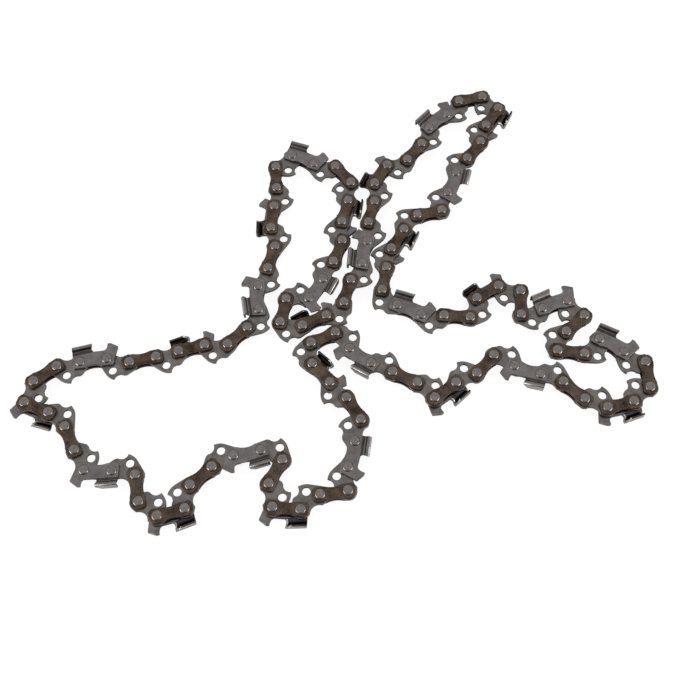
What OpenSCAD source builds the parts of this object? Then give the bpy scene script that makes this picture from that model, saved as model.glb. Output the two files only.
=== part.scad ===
// Chainsaw chain: a closed loop of low profile 3/8 inch saw chain, lying on its side.
// Every link is drawn in its own frame: X along the travel, Y towards the cutting side,
// Z across the chain, with its origin midway between its two rivets.
// The whole chain stands on z = 0, on the outer corners of its left hand cutters.

/* [Chain] */
// Half the distance over three rivets, the size by which a chain is sold
pitch = 9.525; // [9.4:0.025:9.65]
// Rivet spacing of a tie strap and of a cutter
side_span = 10.22; // [10:0.01:10.4]
// Thickness of a drive link, which runs in the guide bar's groove
gauge = 1.27; // [1.1:0.01:1.6]
// Thickness of a tie strap and of a cutter's side plate
plate_t = 1.1; // [0.9:0.05:1.2]
// Clearance on each side of a drive link
side_gap = 0.05; // [0.02:0.01:0.1]

/* [Rivets] */
// Diameter of a spun rivet head
head_d = 4.05; // [3.6:0.05:4.4]
// Height of a spun rivet head
head_h = 0.6; // [0.4:0.05:0.8]
// Diameter of the rivet's ends, in the tie straps and cutters
neck_d = 3; // [2.6:0.1:3.2]
// Diameter of the rivet's hub, on which a drive link turns
hub_d = 4.6; // [4.2:0.1:5]
// Radial clearance between a hub and its drive link
hub_gap = 0.05; // [0.02:0.01:0.1]

/* [Drive links] */
// Radius of the eye round each rivet
eye_r = 3.4; // [3.2:0.05:3.6]
// Height of the saddle between the eyes, above the rivets
saddle_h = 1.95; // [1.7:0.05:2.4]
// Depth of the tang's tip below the rivets
tang_depth = 7.5; // [7.2:0.05:7.7]
// Radius of the tang's round trailing side
tang_r = 6; // [5.7:0.1:6.3]
// Depth of the shoulder in front of the tang
toe_depth = 5.05; // [4.9:0.05:5.3]
// Radius of the hook between the tang's tip and that shoulder
hook_r = 2.5; // [2.2:0.1:2.7]
// Diameter of the oil hole through the tang
oil_hole_d = 3.15; // [2.4:0.05:3.3]

/* [Tie straps] */
// Length of the strap beyond each rivet
strap_end = 2.85; // [2.7:0.05:3]
// Height of the strap's ends above the rivets
strap_top = 2.9; // [2.8:0.05:3]
// Depth of the strap's ends below the rivets
strap_bottom = 2.65; // [2.6:0.05:2.8]
// Height of the waist above the rivet line
waist_top = 2.3; // [2:0.05:2.6]
// Depth of the waist below the rivet line
waist_bottom = 2; // [1.7:0.05:2.3]

/* [Cutters] */
// Height of the top plate at its middle, above the rivets
top_h = 6.3; // [6.1:0.05:6.6]
// Slope of the top plate, which falls behind the cutting edge
top_slope = 6.5; // [4:0.5:8]
// Distance of the cutter's back edge behind the link's middle
plate_back = 7.8; // [7.6:0.05:7.9]
// Depth of the cutter's feet below the rivets
foot_depth = 2.75; // [2.65:0.05:2.85]
// Height at which the side plate starts to flare outwards
flare_start = 3; // [2.9:0.05:3.1]
// Lean of the flare away from the side plate
flare_angle = 48; // [40:1:52]
// Outer radius of the corner between flare and top plate
corner_r = 1; // [0.8:0.05:1.2]
// Thickness of the flare and the top plate
top_t = 0.8; // [0.7:0.05:1]
// Width of the top plate past the middle of the chain
top_past = 0.45; // [0.2:0.05:0.8]
// Diameter of the hollow ground into the cutting edge
hollow_d = 6; // [5:0.5:8]
// Angle at which the cutting edge falls back across the chain
edge_angle = 35; // [25:1:40]
// Height of the gullet's floor above the rivets
gullet_h = 3.45; // [3.3:0.05:3.6]
// Height of the depth gauge above the rivets
gauge_h = 6.7; // [6.4:0.05:6.9]
// Height of the fold where the depth gauge leans inwards
fold_h = 4.2; // [4:0.1:4.4]
// Lean of the depth gauge towards the middle of the chain
fold_angle = 14; // [5:1:18]

/* [Hidden] */
$fn = 64;
drive_span = 2 * pitch - side_span;
// Height of the inner and outer faces of a side plate above the drive links' middle
plate_in = gauge / 2 + side_gap;
plate_out = plate_in + plate_t;
// Overlap that keeps cuts clear of the faces they pass through
over = 1;

// The lay, as it was dropped on the table: the heading of each link round the loop, clockwise
// from above, in degrees from +X. Each pair is a side link and the drive link after it.
headings = [
    [6, -10], [11, 14], [14, 0], [43, 61], [92, 65], [74, 101], [83, 84], [92, 40],
    [-26, -10], [-52, -99], [-106, -90], [-111, -119], [-125, -179], [-103, -11],
    [24, 39], [73, 57], [77, 86], [74, 88], [57, 17], [51, 67], [39, 50], [11, -45],
    [-125, -109], [-127, -126], [-113, -110], [-169, -131], [-122, -105], [-102, -51],
    [-26, -3], [-6, 69], [30, -16], [-94, 16], [17, -47], [-139, -118], [-9, 43],
    [-34, -30], [-88, -141], [-168, -204], [-224, -201], [-201, -212], [-134, -156],
    [-145, -225], [-207, -205], [-218, -232], [-156, -88], [-50, -46], [-60, -106],
    [-106, -91], [-173, -143], [-186, -261], [-299, -206], [-170, -152], [-139, -100],
    [-166, -218], [-260, -191], [-183, -242], [-245, -221], [-204, -287], [-324, -350]
];
link_count = len(headings);
rivet_count = 2 * link_count;
// Side links come in this order, apart from one more pair of straps where the loop was closed
order = ["right", "strap", "left", "strap"];
splice = 34;
function kind(i) =
    i == splice ? "strap" : order[(i < splice ? i : i - splice - 1) % len(order)];
function span(k) = k % 2 == 0 ? side_span : drive_span;
function along(a) = [cos(a), sin(a)];
function across(a) = [-sin(a), cos(a)];
function total(v) = [for (x = v) 1] * v;

// Turns every link a little, in proportion to what its turn moves, until the loop closes
function closed(h, passes) =
    passes == 0 ? h
    : let (
        gap = total([for (k = [0:rivet_count - 1]) span(k) * along(h[k])]),
        arm = [for (k = [0:rivet_count - 1]) span(k) * across(h[k])],
        xx = total([for (a = arm) a.x * a.x]),
        xy = total([for (a = arm) a.x * a.y]),
        yy = total([for (a = arm) a.y * a.y]),
        share = [xy * gap.y - yy * gap.x, xy * gap.x - xx * gap.y] / (xx * yy - xy * xy)
    )
    closed([for (k = [0:rivet_count - 1]) h[k] + arm[k] * share * 180 / PI], passes - 1);
heading = closed([for (pair = headings) for (a = pair) a], 4);
path = [
    for (k = 0, p = [0, 0]; k < rivet_count; p = p + span(k) * along(heading[k]), k = k + 1) p
];

// Half the length of a side link and of a drive link
side_half = side_span / 2;
drive_half = drive_span / 2;

// Section of the cutter's upper part, as [distance across the chain, height]. It runs up the
// outer face from the side plate, round the flare and the corner, and along the top plate.
flare_r = 2.2;
flare_steps = 5;
corner_steps = 9;
top_droop = 2;
flat_from = 2.2;
flare_rise = 0.25;
flare_arc = [
    for (s = [0:flare_steps])
        let (a = flare_angle * s / flare_steps) [
            [plate_out + flare_r * (1 - cos(a)), flare_start + flare_r * sin(a)], 90 - a
        ]
];
flare_end = flare_arc[flare_steps][0] + flare_rise * along(90 - flare_angle);
corner_turn = 90 + flare_angle + top_droop;
corner_mid = flare_end + corner_r * across(90 - flare_angle);
corner_arc = [
    for (s = [0:corner_steps])
        let (a = 90 - flare_angle + corner_turn * s / corner_steps) [
            corner_mid - corner_r * across(a), a
        ]
];
top_end = let (
    p = corner_arc[corner_steps][0],
    d = along(180 + top_droop)
) p + d * (p.x + top_past) / cos(top_droop);
outer_line = concat(
    [[[plate_out, flat_from], 90]], flare_arc, corner_arc, [[top_end, 180 + top_droop]]
);
// The sheet thins a little from the side plate to the top plate
function sheet(s) = s == 0 ? plate_t : s > flare_steps ? top_t
    : plate_t + (top_t - plate_t) * (s - 1) / flare_steps;
top_shift = top_h - max([for (p = outer_line) p[0].y]);
outer_side = [for (p = outer_line) p[0]];
inner_side = [
    for (s = [len(outer_line) - 1:-1:0])
        outer_line[s][0] + sheet(s) * across(outer_line[s][1])
];
// Half the width of the cut that the chain makes
side_reach = max([for (p = outer_side) p.x]);

// The middle of the chain's own box, found from the points that reach furthest
gauge_tip = [9.55, 4.8];
function world(i, p) =
    path[2 * i] + along(heading[2 * i]) * (side_half + p.x) + across(heading[2 * i]) * p.y;
edge_points = concat(
    [for (q = path) for (a = [0:10:350]) q + eye_r * along(a)],
    [
        for (i = [0:link_count - 1])
            if (kind(i) != "strap")
                for (p = [
                    [-plate_back, top_h - (plate_back - 4) * sin(top_slope)],
                    [0.1, top_h + 4.1 * sin(top_slope)], [5.6, gauge_h], [6.8, gauge_h], gauge_tip
                ])
                    world(i, p)
    ]
);
low = [min([for (q = edge_points) q.x]), min([for (q = edge_points) q.y])];
high = [max([for (q = edge_points) q.x]), max([for (q = edge_points) q.y])];
centre = (low + high) / 2;

module at_link(i) {
    m = world(i, [0, 0]) - centre;
    translate([m.x, m.y, side_reach])
        rotate([0, 0, heading[2 * i]])
            children();
}

module at_drive_link(i) {
    m = path[2 * i + 1] + along(heading[2 * i + 1]) * drive_half - centre;
    translate([m.x, m.y, side_reach])
        rotate([0, 0, heading[2 * i + 1]])
            children();
}

// Where a straight edge touches two rounds, on the right of the way from one to the other
function touch(c1, r1, c2, r2) =
    let (
        d = c2 - c1,
        a = atan2(d.y, d.x) - acos((r1 - r2) / norm(d))
    )
    [c1 + r1 * along(a), c2 + r2 * along(a)];

module both_ends(half) {
    for (x = [-half, half])
        translate([x, 0])
            children();
}

module drive_link_outline() {
    tang_at = [0.55, tang_r - tang_depth];
    toe_r = 1.4;
    toe_at = [3.7, toe_r - toe_depth];
    saddle_r = 3.5;
    hook_at = [2.6, -toe_depth - hook_r];
    oil_hole_at = [-1.28, -4.1];
    back_eye = [-drive_half, 0];
    front_eye = [drive_half, 0];
    difference() {
        union() {
            both_ends(drive_half)
                circle(r = eye_r);
            intersection() {
                translate(tang_at)
                    circle(r = tang_r);
                translate([tang_at.x - tang_r, -tang_depth])
                    square([tang_r, tang_r]);
            }
            translate(toe_at)
                circle(r = toe_r);
            polygon(concat(
                [back_eye + [0, eye_r]],
                touch(back_eye, eye_r, tang_at, tang_r),
                [tang_at - [0, tang_r], toe_at - [0, toe_r]],
                touch(toe_at, toe_r, front_eye, eye_r),
                [front_eye + [0, eye_r]]
            ));
        }
        translate([0, saddle_h + saddle_r])
            circle(r = saddle_r);
        translate(hook_at)
            circle(r = hook_r);
        translate(oil_hole_at)
            circle(d = oil_hole_d);
        both_ends(drive_half)
            circle(d = hub_d + 2 * hub_gap);
    }
}

module drive_link() {
    translate([0, 0, -gauge / 2])
        linear_extrude(gauge)
            drive_link_outline();
}

// The round waist between two rivets, as the big circle that cuts it
module waist(depth, width, drop) {
    r = (width * width + drop * drop) / (2 * drop);
    translate([0, depth > 0 ? depth + r : depth - r])
        circle(r = r, $fn = 180);
}

// Squared end of a strap or side plate, its corners rounded by radius r
module end_pad(r, reach, bottom, top) {
    intersection() {
        circle(r = r);
        translate([-reach, -bottom])
            square([2 * reach, bottom + top]);
    }
}

module tie_strap_outline() {
    strap_r = 3.2;
    waist_half = 3.3;
    difference() {
        union() {
            both_ends(side_half)
                end_pad(strap_r, strap_end, strap_bottom, strap_top);
            translate([-side_half, -strap_bottom])
                square([side_span, strap_bottom + strap_top]);
        }
        waist(waist_top, waist_half, strap_top - waist_top);
        waist(-waist_bottom, waist_half, strap_bottom - waist_bottom);
        both_ends(side_half)
            circle(d = neck_d);
    }
}

module tie_strap() {
    translate([0, 0, plate_in])
        linear_extrude(plate_t)
            tie_strap_outline();
}

// Hollow in front of the cutting edge: its axis leans by the edge's angle
module edge_cut() {
    edge_at = [-0.35, 5.6];
    crossing = 2.5;
    reach = 10;
    gullet_to = 3.6;
    intersection() {
        translate([edge_at.x + hollow_d / 2 / cos(edge_angle), edge_at.y, crossing])
            rotate([0, edge_angle, 0])
                cylinder(d = hollow_d, h = 2 * reach, center = true);
        translate([gullet_to - reach, gullet_h, -reach])
            cube([reach, reach, 2 * reach]);
    }
}

// Drawn past the back edge, where the whole cutter is cut off straight
module side_plate_outline() {
    foot_r = 3.45;
    foot_half = 3.3;
    gullet_r = 1.7;
    difference() {
        union() {
            both_ends(side_half)
                end_pad(foot_r, 2.95, foot_depth, 3.1);
            polygon([
                [-side_half, -foot_depth], [7.4, -foot_depth], [9.55, fold_h],
                [4, fold_h], [4, gullet_h], [0, gullet_h], [-plate_back - over, 2.3],
                [-side_half, 0]
            ]);
        }
        waist(-waist_bottom, foot_half, foot_depth - waist_bottom);
        translate([3.8, gullet_h + gullet_r])
            circle(r = gullet_r);
        both_ends(side_half)
            circle(d = neck_d);
    }
}

// Depth gauge above its fold, drawn from the fold line up
module depth_gauge_outline() {
    polygon([
        [5.2, 0], [5.5, 5.15 - fold_h], [5.6, gauge_h - fold_h],
        [6.8, gauge_h - fold_h], gauge_tip - [0, fold_h], [9.55, 0]
    ]);
}

// Flared side and top plate: one folded strip, tilted down towards the back
module top_strip() {
    strip_front = 1.2;
    strip_back = 10;
    tilt_at = -4;
    translate([tilt_at, top_shift, 0])
        rotate([0, 0, top_slope])
            translate([strip_front - tilt_at, 0, 0])
                rotate([0, -90, 0])
                    linear_extrude(strip_front + strip_back)
                        polygon(concat(outer_side, inner_side));
}

// Right hand cutter; a left hand one is its mirror image
module cutter() {
    difference() {
        union() {
            translate([0, 0, plate_in])
                linear_extrude(plate_t)
                    side_plate_outline();
            top_strip();
        }
        edge_cut();
        translate([-plate_back - 10, -15, -15])
            cube([10, 30, 30]);
    }
    translate([0, fold_h, plate_out])
        rotate([-fold_angle, 0, 0])
            translate([0, 0, -plate_t])
                linear_extrude(plate_t)
                    depth_gauge_outline();
}

// Hub, two necks and two spun heads, turned in one piece
module rivet() {
    hub_half = plate_in;
    rotate_extrude()
        for (side = [0, 1])
            mirror([0, side])
                polygon([
                    [0, 0], [hub_d / 2, 0], [hub_d / 2, hub_half], [neck_d / 2, hub_half],
                    [neck_d / 2, plate_out], [head_d / 2, plate_out],
                    [head_d / 2 - 0.03, plate_out + 0.5 * head_h],
                    [head_d / 2 - 0.2, plate_out + 0.85 * head_h],
                    [head_d / 2 - 0.55, plate_out + head_h], [0, plate_out + head_h]
                ]);
}

// Nodes: each cutter by itself, and the smaller pieces in runs of five or six links
runs = 10;
function run_of(i) = floor(i * runs / link_count);
function two_digits(k) = str(k < 10 ? "0" : "", k);
function name(kind, k) = str(kind, "_", two_digits(k));
right_links = [for (i = [0:link_count - 1]) if (kind(i) == "right") i];
left_links = [for (i = [0:link_count - 1]) if (kind(i) == "left") i];

module right_cutter(k) {
    color("#8c8885")
        at_link(right_links[k - 1])
            cutter();
}

module left_cutter(k) {
    color("#8c8885")
        at_link(left_links[k - 1])
            mirror([0, 0, 1])
                cutter();
}

module drive_links(k) {
    color("#76726f")
        for (i = [0:link_count - 1])
            if (run_of(i) == k - 1)
                at_drive_link(i)
                    drive_link();
}

module tie_straps(k) {
    color("#5a4a3d")
        for (i = [0:link_count - 1])
            if (run_of(i) == k - 1)
                at_link(i) {
                    if (kind(i) != "right")
                        tie_strap();
                    if (kind(i) != "left")
                        mirror([0, 0, 1])
                            tie_strap();
                }
}

module rivets(k) {
    color("#b4b0ac")
        for (i = [0:link_count - 1])
            if (run_of(i) == k - 1)
                at_link(i)
                    for (x = [-side_half, side_half])
                        translate([x, 0, 0])
                            rivet();
}

for (k = [1:len(right_links)])
    right_cutter(k);
for (k = [1:len(left_links)])
    left_cutter(k);
for (k = [1:runs]) {
    drive_links(k);
    tie_straps(k);
    rivets(k);
}
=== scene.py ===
from math import atan2, cos, pi, radians, sin

import bmesh
import bpy
from mathutils import Matrix, Vector


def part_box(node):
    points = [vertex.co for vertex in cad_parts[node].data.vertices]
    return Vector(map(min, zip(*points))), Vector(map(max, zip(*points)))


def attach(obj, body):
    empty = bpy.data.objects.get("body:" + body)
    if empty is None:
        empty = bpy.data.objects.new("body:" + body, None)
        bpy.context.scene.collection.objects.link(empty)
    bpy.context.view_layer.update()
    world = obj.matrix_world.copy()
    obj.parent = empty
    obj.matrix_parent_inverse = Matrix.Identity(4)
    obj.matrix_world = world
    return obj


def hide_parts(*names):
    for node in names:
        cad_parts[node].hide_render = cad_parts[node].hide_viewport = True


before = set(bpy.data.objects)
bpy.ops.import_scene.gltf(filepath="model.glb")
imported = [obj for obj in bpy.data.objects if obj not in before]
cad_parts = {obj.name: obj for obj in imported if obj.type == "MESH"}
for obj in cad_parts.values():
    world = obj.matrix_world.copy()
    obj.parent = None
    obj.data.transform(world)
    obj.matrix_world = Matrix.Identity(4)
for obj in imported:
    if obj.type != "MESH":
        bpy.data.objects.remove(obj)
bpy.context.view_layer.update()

# Chainsaw chain lying on its side, dressed for its picture. Each kind of link is finished once
# in its own frame: X along the travel, Y towards the cutting side, Z across the chain.
# Copies then go to every place where the CAD model has such a link.

MM = 0.001

# Sizes repeated from the part's source
SIDE_SPAN = 10.22 * MM
DRIVE_SPAN = 8.83 * MM
MIDDLE_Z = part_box("rivets_01")[0][2] / 2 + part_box("rivets_01")[1][2] / 2
PLATE_IN = 0.685 * MM
PLATE_OUT = 1.785 * MM
HUB_R = 2.3 * MM
NECK_R = 1.5 * MM
HEAD_R = 2.025 * MM
HEAD_H = 0.6 * MM
HOLLOW_R = 3 * MM
HOLLOW_AT = Vector((3.312, 5.6, 2.5)) * MM
EDGE_ANGLE = radians(35)
# Edges that turn by more than this are rounded
EDGE_LIMIT = radians(32)
CUTTER_ROUNDING = 0.16 * MM
DRIVE_ROUNDING = 0.17 * MM
STRAP_ROUNDING = 0.2 * MM
RUNS = 10
RIGHT_CUTTERS = 15
LEFT_CUTTERS = 14

# The photograph's camera, found from the places of the rivets in it
PHOTO_PIXELS = 680
FOCAL_PIXELS = 1058.1
AIM = Vector((2.776, -20.498, 3.029)) * MM
DISTANCE = 408.16 * MM
ELEVATION = radians(65.384)
ROLL = radians(-1.295)


# Blender's own tools, used one object at a time

def choose(thing):
    bpy.ops.object.select_all(action="DESELECT")
    thing.select_set(True)
    bpy.context.view_layer.objects.active = thing


def edit(thing):
    choose(thing)
    bpy.ops.object.mode_set(mode="EDIT")
    bpy.ops.mesh.select_mode(type="VERT")
    bpy.ops.mesh.select_all(action="SELECT")


def leave_edit():
    bpy.ops.object.mode_set(mode="OBJECT")


def modify(thing, kind, **settings):
    choose(thing)
    bpy.ops.object.modifier_add(type=kind)
    modifier = thing.modifiers[-1]
    for name, value in settings.items():
        setattr(modifier, name, value)
    bpy.ops.object.modifier_apply(modifier=modifier.name)


def remove(things):
    for thing in things:
        bpy.data.objects.remove(thing)


def new_object(name, mesh):
    thing = bpy.data.objects.new(name, mesh)
    bpy.context.scene.collection.objects.link(thing)
    return thing


# Camera, floor and lights

def make_camera():
    data = bpy.data.cameras.new("photo_camera")
    data.sensor_width = 36
    data.lens = data.sensor_width * FOCAL_PIXELS / PHOTO_PIXELS
    data.clip_start = 0.01
    camera = new_object("photo_camera", data)
    away = Vector((0, -cos(ELEVATION), sin(ELEVATION)))
    turn = Matrix.Rotation(pi / 2 - ELEVATION, 4, "X") @ Matrix.Rotation(ROLL, 4, "Z")
    camera.matrix_world = Matrix.Translation(AIM + DISTANCE * away) @ turn
    bpy.context.scene.camera = camera


def linear(colour):
    """Linear colour with full alpha from an sRGB hex value such as #7f7c79."""
    parts = [int(colour[k:k + 2], 16) / 255 for k in (1, 3, 5)]
    return tuple(c / 12.92 if c <= 0.04045 else ((c + 0.055) / 1.055) ** 2.4 for c in parts) + (1,)


def add(tree, kind, links=None, **settings):
    """Adds a node with its settings. links maps input sockets to values or to other outputs."""
    node = tree.nodes.new(kind)
    for name, value in settings.items():
        setattr(node, name, value)
    for socket, value in (links or {}).items():
        if isinstance(value, bpy.types.NodeSocket):
            tree.links.new(value, node.inputs[socket])
        else:
            node.inputs[socket].default_value = value
    return node


def new_material(name):
    material = bpy.data.materials.new(name)
    material.use_nodes = True
    material.node_tree.nodes.clear()
    return material, material.node_tree


def make_floor():
    """White table: the camera sees it near white, with the chain's faint shadow left on it."""
    glow_share = 0.8
    glow = 1.12
    material, tree = new_material("white_table")
    path = add(tree, "ShaderNodeLightPath")
    seen = add(tree, "ShaderNodeMath", {0: path.outputs["Is Camera Ray"], 1: glow_share},
               operation="MULTIPLY")
    matt = add(tree, "ShaderNodeBsdfDiffuse", {"Color": linear("#f4f4f4")})
    white = add(tree, "ShaderNodeEmission", {"Color": linear("#ffffff"), "Strength": glow})
    mixed = add(tree, "ShaderNodeMixShader", {0: seen.outputs[0], 1: matt.outputs[0],
                                              2: white.outputs[0]})
    add(tree, "ShaderNodeOutputMaterial", {"Surface": mixed.outputs[0]})
    bpy.ops.mesh.primitive_plane_add(size=12, location=(0, 0, -0.02 * MM))
    floor = bpy.context.object
    floor.name = "table"
    floor.data.materials.append(material)


def make_world():
    """White studio with a dark place low behind the camera, which steel shows in its turns."""
    dark_way = (0, -0.93, 0.37)
    world = bpy.data.worlds.new("studio")
    bpy.context.scene.world = world
    world.use_nodes = True
    tree = world.node_tree
    tree.nodes.clear()
    path = add(tree, "ShaderNodeLightPath")
    way = add(tree, "ShaderNodeTexCoord")
    front = add(tree, "ShaderNodeVectorMath", {0: way.outputs["Generated"], 1: dark_way},
                operation="DOT_PRODUCT")
    level = add(tree, "ShaderNodeMapRange", {"Value": front.outputs["Value"], "From Min": 0.72,
                                             "From Max": 0.97, "To Min": 0.8, "To Max": 0.08})
    back = add(tree, "ShaderNodeBackground", {"Color": linear("#ffffff"),
                                              "Strength": level.outputs[0]})
    white = add(tree, "ShaderNodeBackground", {"Color": linear("#ffffff"), "Strength": 1})
    mixed = add(tree, "ShaderNodeMixShader", {0: path.outputs["Is Camera Ray"],
                                              1: back.outputs[0], 2: white.outputs[0]})
    add(tree, "ShaderNodeOutputWorld", {"Surface": mixed.outputs[0]})


def make_lamp(name, azimuth, height, size, brightness):
    """Soft box that faces the chain. azimuth 0 is on the camera's side, 90 on the right."""
    far = 0.55
    data = bpy.data.lights.new(name, "AREA")
    data.shape = "RECTANGLE"
    data.size, data.size_y = size
    data.energy = brightness * pi * size[0] * size[1]
    lamp = new_object(name, data)
    a = radians(azimuth)
    h = radians(height)
    away = Vector((sin(a) * cos(h), -cos(a) * cos(h), sin(h)))
    facing = away.to_track_quat("Z", "Y").to_matrix().to_4x4()
    lamp.matrix_world = Matrix.Translation(away * far) @ facing


make_camera()
make_floor()
make_world()
make_lamp("left_soft_box", -62, 20, (0.3, 0.14), 6.5)
make_lamp("right_soft_box", 62, 20, (0.3, 0.14), 6.5)

bpy.context.scene.view_settings.view_transform = "Standard"


# Finishes

def steel(name, dark, light, roughness, patch, grain, depth):
    """Steel whose colour drifts over patches and whose skin has a fine grain, sizes in metres."""
    material, tree = new_material(name)
    place = add(tree, "ShaderNodeTexCoord").outputs["Object"]
    drift = add(tree, "ShaderNodeTexNoise", {"Vector": place, "Scale": 1 / patch, "Detail": 4})
    speck = add(tree, "ShaderNodeTexNoise", {"Vector": place, "Scale": 1 / grain, "Detail": 3})
    both = add(tree, "ShaderNodeMix", {0: 0.45, 2: drift.outputs["Fac"],
                                       3: speck.outputs["Fac"]}, data_type="FLOAT")
    spread = add(tree, "ShaderNodeMapRange", {"Value": both.outputs[0], "From Min": 0.35,
                                              "From Max": 0.65})
    colour = add(tree, "ShaderNodeMix", {0: spread.outputs[0], 6: linear(dark),
                                         7: linear(light)}, data_type="RGBA")
    polish = add(tree, "ShaderNodeMapRange", {
        "Value": speck.outputs["Fac"], "From Min": 0.3, "From Max": 0.7,
        "To Min": roughness - 0.06, "To Max": roughness + 0.06})
    bump = add(tree, "ShaderNodeBump", {"Height": speck.outputs["Fac"], "Strength": 0.6,
                                        "Distance": depth})
    surface = add(tree, "ShaderNodeBsdfPrincipled", {
        "Base Color": colour.outputs[2], "Metallic": 1, "Roughness": polish.outputs[0],
        "Normal": bump.outputs[0]})
    add(tree, "ShaderNodeOutputMaterial", {"Surface": surface.outputs[0]})
    return material


# Stamped and tumbled spring steel: dull mid grey, with rounded edges that catch the light
tumbled_steel = steel("tumbled_spring_steel", "#5f5b59", "#85817e", 0.36, 3 * MM, 0.3 * MM,
                      0.012 * MM)
# Blued and oiled tie strap steel: brown as dark bronze, a little smoother than the rest
browned_steel = steel("browned_strap_steel", "#322923", "#6d5f52", 0.34, 4 * MM, 0.45 * MM,
                      0.015 * MM)
# Satin hard chrome over the cutters: lighter and cooler than the bare links
satin_chrome = steel("satin_hard_chrome", "#666261", "#858180", 0.24, 3 * MM, 0.25 * MM,
                     0.01 * MM)
# Painted highlight: the top plate's outward faces get this lighter chrome, standing in for the
# light they catch
chrome_painted_highlight = steel("hard_chrome_painted_highlight", "#918d8b", "#b3afac", 0.22, 2 * MM, 0.25 * MM,
                      0.008 * MM)
# Fresh ground steel at the cutting edge, near white where it turns to the light
ground_steel = steel("ground_cutting_edge", "#cfccc8", "#e9e6e2", 0.24, 1 * MM, 0.12 * MM,
                     0.006 * MM)
# Painted shade: the fold between side plate and top plate and the inward faces under the top plate
# get the same chrome, nearly black
chrome_painted_shade = steel("hard_chrome_painted_shade", "#393431", "#544e4a", 0.3, 3 * MM, 0.25 * MM, 0.01 * MM)
# Rivet heads spun over cold: silver grey, smooth from the tool
spun_steel = steel("spun_rivet_steel", "#6b6663", "#8d8884", 0.22, 1 * MM, 0.2 * MM, 0.008 * MM)


# Places of the links, worked out from the CAD model

def loose_parts(node):
    """The node's separate solids, as new objects."""
    whole = new_object("loose", node.data.copy())
    edit(whole)
    bpy.ops.mesh.remove_doubles(threshold=0.002 * MM)
    bpy.ops.mesh.separate(type="LOOSE")
    leave_edit()
    return list(bpy.context.selected_objects)


def box_middle(thing):
    corners = [Vector(v.co) for v in thing.data.vertices]
    return Vector([(min(c[k] for c in corners) + max(c[k] for c in corners)) / 2
                   for k in range(3)])


def skin_middle(thing):
    """Centre of the solid's skin, by area."""
    faces = thing.data.polygons
    return sum((f.center * f.area for f in faces), Vector()) / sum(f.area for f in faces)


def numbered(kind, count):
    return [f"{kind}_{k:02d}" for k in range(1, count + 1)]


rivet_places = {}
for node in numbered("rivets", RUNS):
    parts = loose_parts(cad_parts[node])
    rivet_places[node] = [box_middle(part) for part in parts]
    remove(parts)
rivets = [place for places in rivet_places.values() for place in places]


def rivet_pairs(span):
    return [(a, b) for a in rivets for b in rivets if abs((b - a).length - span) < 0.02 * MM]


def link_frame(thing, pairs, side):
    """Where the link's own frame sits. side is 1 if most of it is on the cutting side, else -1."""
    middle = skin_middle(thing)
    flat = Vector((middle.x, middle.y, MIDDLE_Z))
    nearest = min(((a + b) / 2 - flat).length for a, b in pairs)
    for a, b in pairs:
        centre = (a + b) / 2
        along = b - a
        off = flat - centre
        if off.length < nearest + 0.001 * MM and side * (along.x * off.y - along.y * off.x) > 0:
            turn = Matrix.Rotation(atan2(along.y, along.x), 4, "Z")
            return Matrix.Translation((centre.x, centre.y, MIDDLE_Z)) @ turn


side_pairs = rivet_pairs(SIDE_SPAN)
drive_pairs = rivet_pairs(DRIVE_SPAN)


# Forms: one of each kind of link

def clean_form(thing, place):
    """Brings a CAD solid into its own frame, as plain faces without the triangles' seams."""
    thing.data.transform(place.inverted())
    edit(thing)
    bpy.ops.mesh.remove_doubles(threshold=0.01 * MM)
    bpy.ops.mesh.dissolve_limited(angle_limit=radians(1.5))
    leave_edit()


def soften(thing):
    """Shades the rounded edges smoothly while the flats stay flat."""
    edit(thing)
    bpy.ops.mesh.remove_doubles(threshold=0.005 * MM)
    leave_edit()
    modify(thing, "WEIGHTED_NORMAL", mode="FACE_AREA", weight=80, keep_sharp=False)


def round_edges(thing, width):
    """Rounds the edges as tumbling leaves them, and keeps the flats flat."""
    choose(thing)
    bpy.ops.object.shade_smooth()
    modify(thing, "BEVEL", width=width, segments=2, limit_method="ANGLE",
           angle_limit=EDGE_LIMIT, use_clamp_overlap=False, miter_outer="MITER_ARC")
    soften(thing)


def make_rivet():
    """Hub, neck and spun head, raised ring by ring, then mirrored to the other side."""
    dome = [(0.985, 0.15), (0.93, 0.4), (0.85, 0.65), (0.76, 0.82), (0.62, 0.93), (0.55, 0.94),
            (0.5, 0.9), (0.45, 0.94), (0.36, 0.985), (0.18, 1)]
    rings = [(HUB_R, PLATE_IN), (NECK_R, PLATE_IN), (NECK_R, PLATE_OUT), (0.99 * HEAD_R, PLATE_OUT)]
    rings += [(r * HEAD_R, PLATE_OUT + h * HEAD_H) for r, h in dome]
    bpy.ops.object.select_all(action="DESELECT")
    bpy.ops.mesh.primitive_circle_add(vertices=28, radius=HUB_R, fill_type="NOTHING")
    rivet = bpy.context.object
    edit(rivet)
    r, z = HUB_R, 0
    for ring_r, ring_z in rings:
        bpy.ops.mesh.extrude_edges_move(TRANSFORM_OT_translate={"value": (0, 0, ring_z - z)})
        bpy.ops.transform.resize(value=(ring_r / r, ring_r / r, 1), center_override=(0, 0, ring_z))
        r, z = ring_r, ring_z
    bpy.ops.mesh.edge_face_add()
    leave_edit()
    modify(rivet, "MIRROR", use_axis=(False, False, True), merge_threshold=0.001 * MM)
    edit(rivet)
    bpy.ops.mesh.normals_make_consistent(inside=False)
    leave_edit()
    bpy.ops.object.shade_smooth_by_angle(angle=radians(50))
    return rivet


def on_hollow(centre, hand):
    """True on the round surface that the grinding wheel left in front of the cutting edge."""
    reach = 0.08 * MM
    hollow_front = 2 * MM
    at = Vector((HOLLOW_AT.x, HOLLOW_AT.y, hand * HOLLOW_AT.z))
    axis = Vector((sin(EDGE_ANGLE), 0, hand * cos(EDGE_ANGLE)))
    off = centre - at
    round_off = abs((off - axis * off.dot(axis)).length - HOLLOW_R)
    return round_off < reach and centre.x < hollow_front


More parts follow.
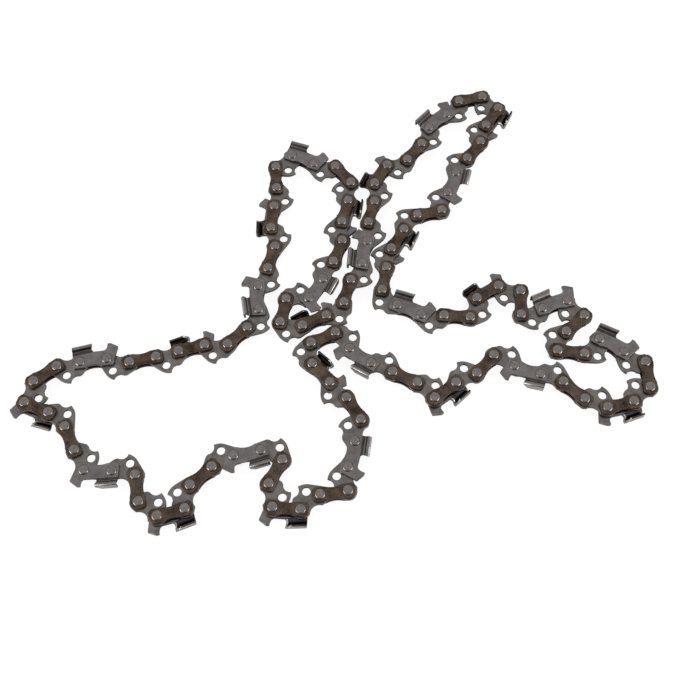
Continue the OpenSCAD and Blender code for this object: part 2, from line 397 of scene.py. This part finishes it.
def paint_cutter(form, hand):
    """Ground steel on the edge, a painted highlight on the top plate's outward faces, painted shade
    in the fold and under the top plate.
    """
    chrome, painted_highlight, ground, painted_shade = range(4)
    plate_front = 0.5 * MM
    crown_from = 4.9 * MM
    crease_from, crease_to = 2.3 * MM, 4.6 * MM
    pocket_from = 2.4 * MM
    for material in (satin_chrome, chrome_painted_highlight, ground_steel, chrome_painted_shade):
        form.data.materials.append(material)
    for face in form.data.polygons:
        y = face.center.y
        up = face.normal.y
        behind = face.center.x < plate_front
        inside = hand * face.normal.z < -0.25 or up < -0.6
        if on_hollow(face.center, hand):
            face.material_index = ground
        # Painted highlight: outward faces of the top plate take the lighter chrome
        elif behind and y > crown_from and up > 0.35:
            face.material_index = painted_highlight
        # Painted shade: faces in the fold and inward faces under the top plate take the near-black
        # chrome
        elif behind and crease_from < y < crease_to and -0.5 < up < -0.03:
            face.material_index = painted_shade
        elif behind and inside and y > pocket_from:
            face.material_index = painted_shade
        else:
            face.material_index = chrome


def worn_edge(edge, hand):
    """True on a cutter's edges that tumbling rounds: not the ground ones, nor the gauge's fold."""
    gullet_back, gullet_front, gullet_floor = -1.2 * MM, 4 * MM, 3.2 * MM
    fold_from, fold_to = 3.4 * MM, 4.9 * MM
    centre = (edge.verts[0].co + edge.verts[1].co) / 2
    hollow = any(on_hollow(face.calc_center_median(), hand) for face in edge.link_faces)
    gullet = gullet_back < centre.x < gullet_front and centre.y > gullet_floor
    fold = centre.x > gullet_front and fold_from < centre.y < fold_to
    return edge.calc_face_angle(0) > EDGE_LIMIT and not (hollow or gullet or fold)


def cutter_form(node, hand):
    form = loose_parts(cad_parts[node])[0]
    form.data.materials.clear()
    clean_form(form, link_frame(form, side_pairs, 1))
    choose(form)
    bpy.ops.object.shade_smooth()
    bpy.ops.object.mode_set(mode="EDIT")
    bpy.ops.mesh.select_mode(type="EDGE")
    bpy.ops.mesh.select_all(action="DESELECT")
    shape = bmesh.from_edit_mesh(form.data)
    for edge in shape.edges:
        edge.select_set(worn_edge(edge, hand))
    bmesh.update_edit_mesh(form.data)
    bpy.ops.mesh.bevel(offset=CUTTER_ROUNDING, segments=2, affect="EDGES", clamp_overlap=False)
    leave_edit()
    soften(form)
    paint_cutter(form, hand)
    return form


def flat_link_form(node, pairs, side, width, material):
    parts = loose_parts(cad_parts[node])
    form = max(parts, key=lambda part: skin_middle(part).z)
    remove([part for part in parts if part != form])
    form.data.materials.clear()
    clean_form(form, link_frame(form, pairs, side))
    round_edges(form, width)
    form.data.materials.append(material)
    return form


def dress(node, form, places):
    """Puts a copy of the form at each place, as one piece that stands for the CAD node."""
    copies = []
    for place in places:
        copy = new_object("copy", form.data.copy())
        copy.data.transform(place)
        copies.append(copy)
    choose(copies[0])
    for copy in copies:
        copy.select_set(True)
    if len(copies) > 1:
        bpy.ops.object.join()
    piece = copies[0]
    piece.name = node + "_finished"
    piece.data.name = piece.name
    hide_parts(node)
    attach(piece, "root")
    return piece


right_form = cutter_form("right_cutter_01", 1)
left_form = cutter_form("left_cutter_01", -1)
for form, nodes in ((right_form, numbered("right_cutter", RIGHT_CUTTERS)),
                    (left_form, numbered("left_cutter", LEFT_CUTTERS))):
    for node in nodes:
        place = link_frame(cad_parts[node], side_pairs, 1)
        dress(node, form, [place])

drive_form = flat_link_form("drive_links_01", drive_pairs, -1, DRIVE_ROUNDING, tumbled_steel)
for node in numbered("drive_links", RUNS):
    parts = loose_parts(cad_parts[node])
    places = [link_frame(part, drive_pairs, -1) for part in parts]
    remove(parts)
    dress(node, drive_form, places)

strap_form = flat_link_form("tie_straps_01", side_pairs, 1, STRAP_ROUNDING, browned_steel)
across = Matrix.Translation((0, 0, -PLATE_IN - PLATE_OUT))
for node in numbered("tie_straps", RUNS):
    parts = loose_parts(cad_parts[node])
    places = []
    for part in parts:
        place = link_frame(part, side_pairs, 1)
        near = skin_middle(part).z > MIDDLE_Z
        places.append(place if near else place @ across)
    remove(parts)
    dress(node, strap_form, places)

rivet_form = make_rivet()
rivet_form.data.materials.append(spun_steel)
for node, centres in rivet_places.items():
    dress(node, rivet_form, [Matrix.Translation(c) for c in centres])

remove([right_form, left_form, drive_form, strap_form, rivet_form])
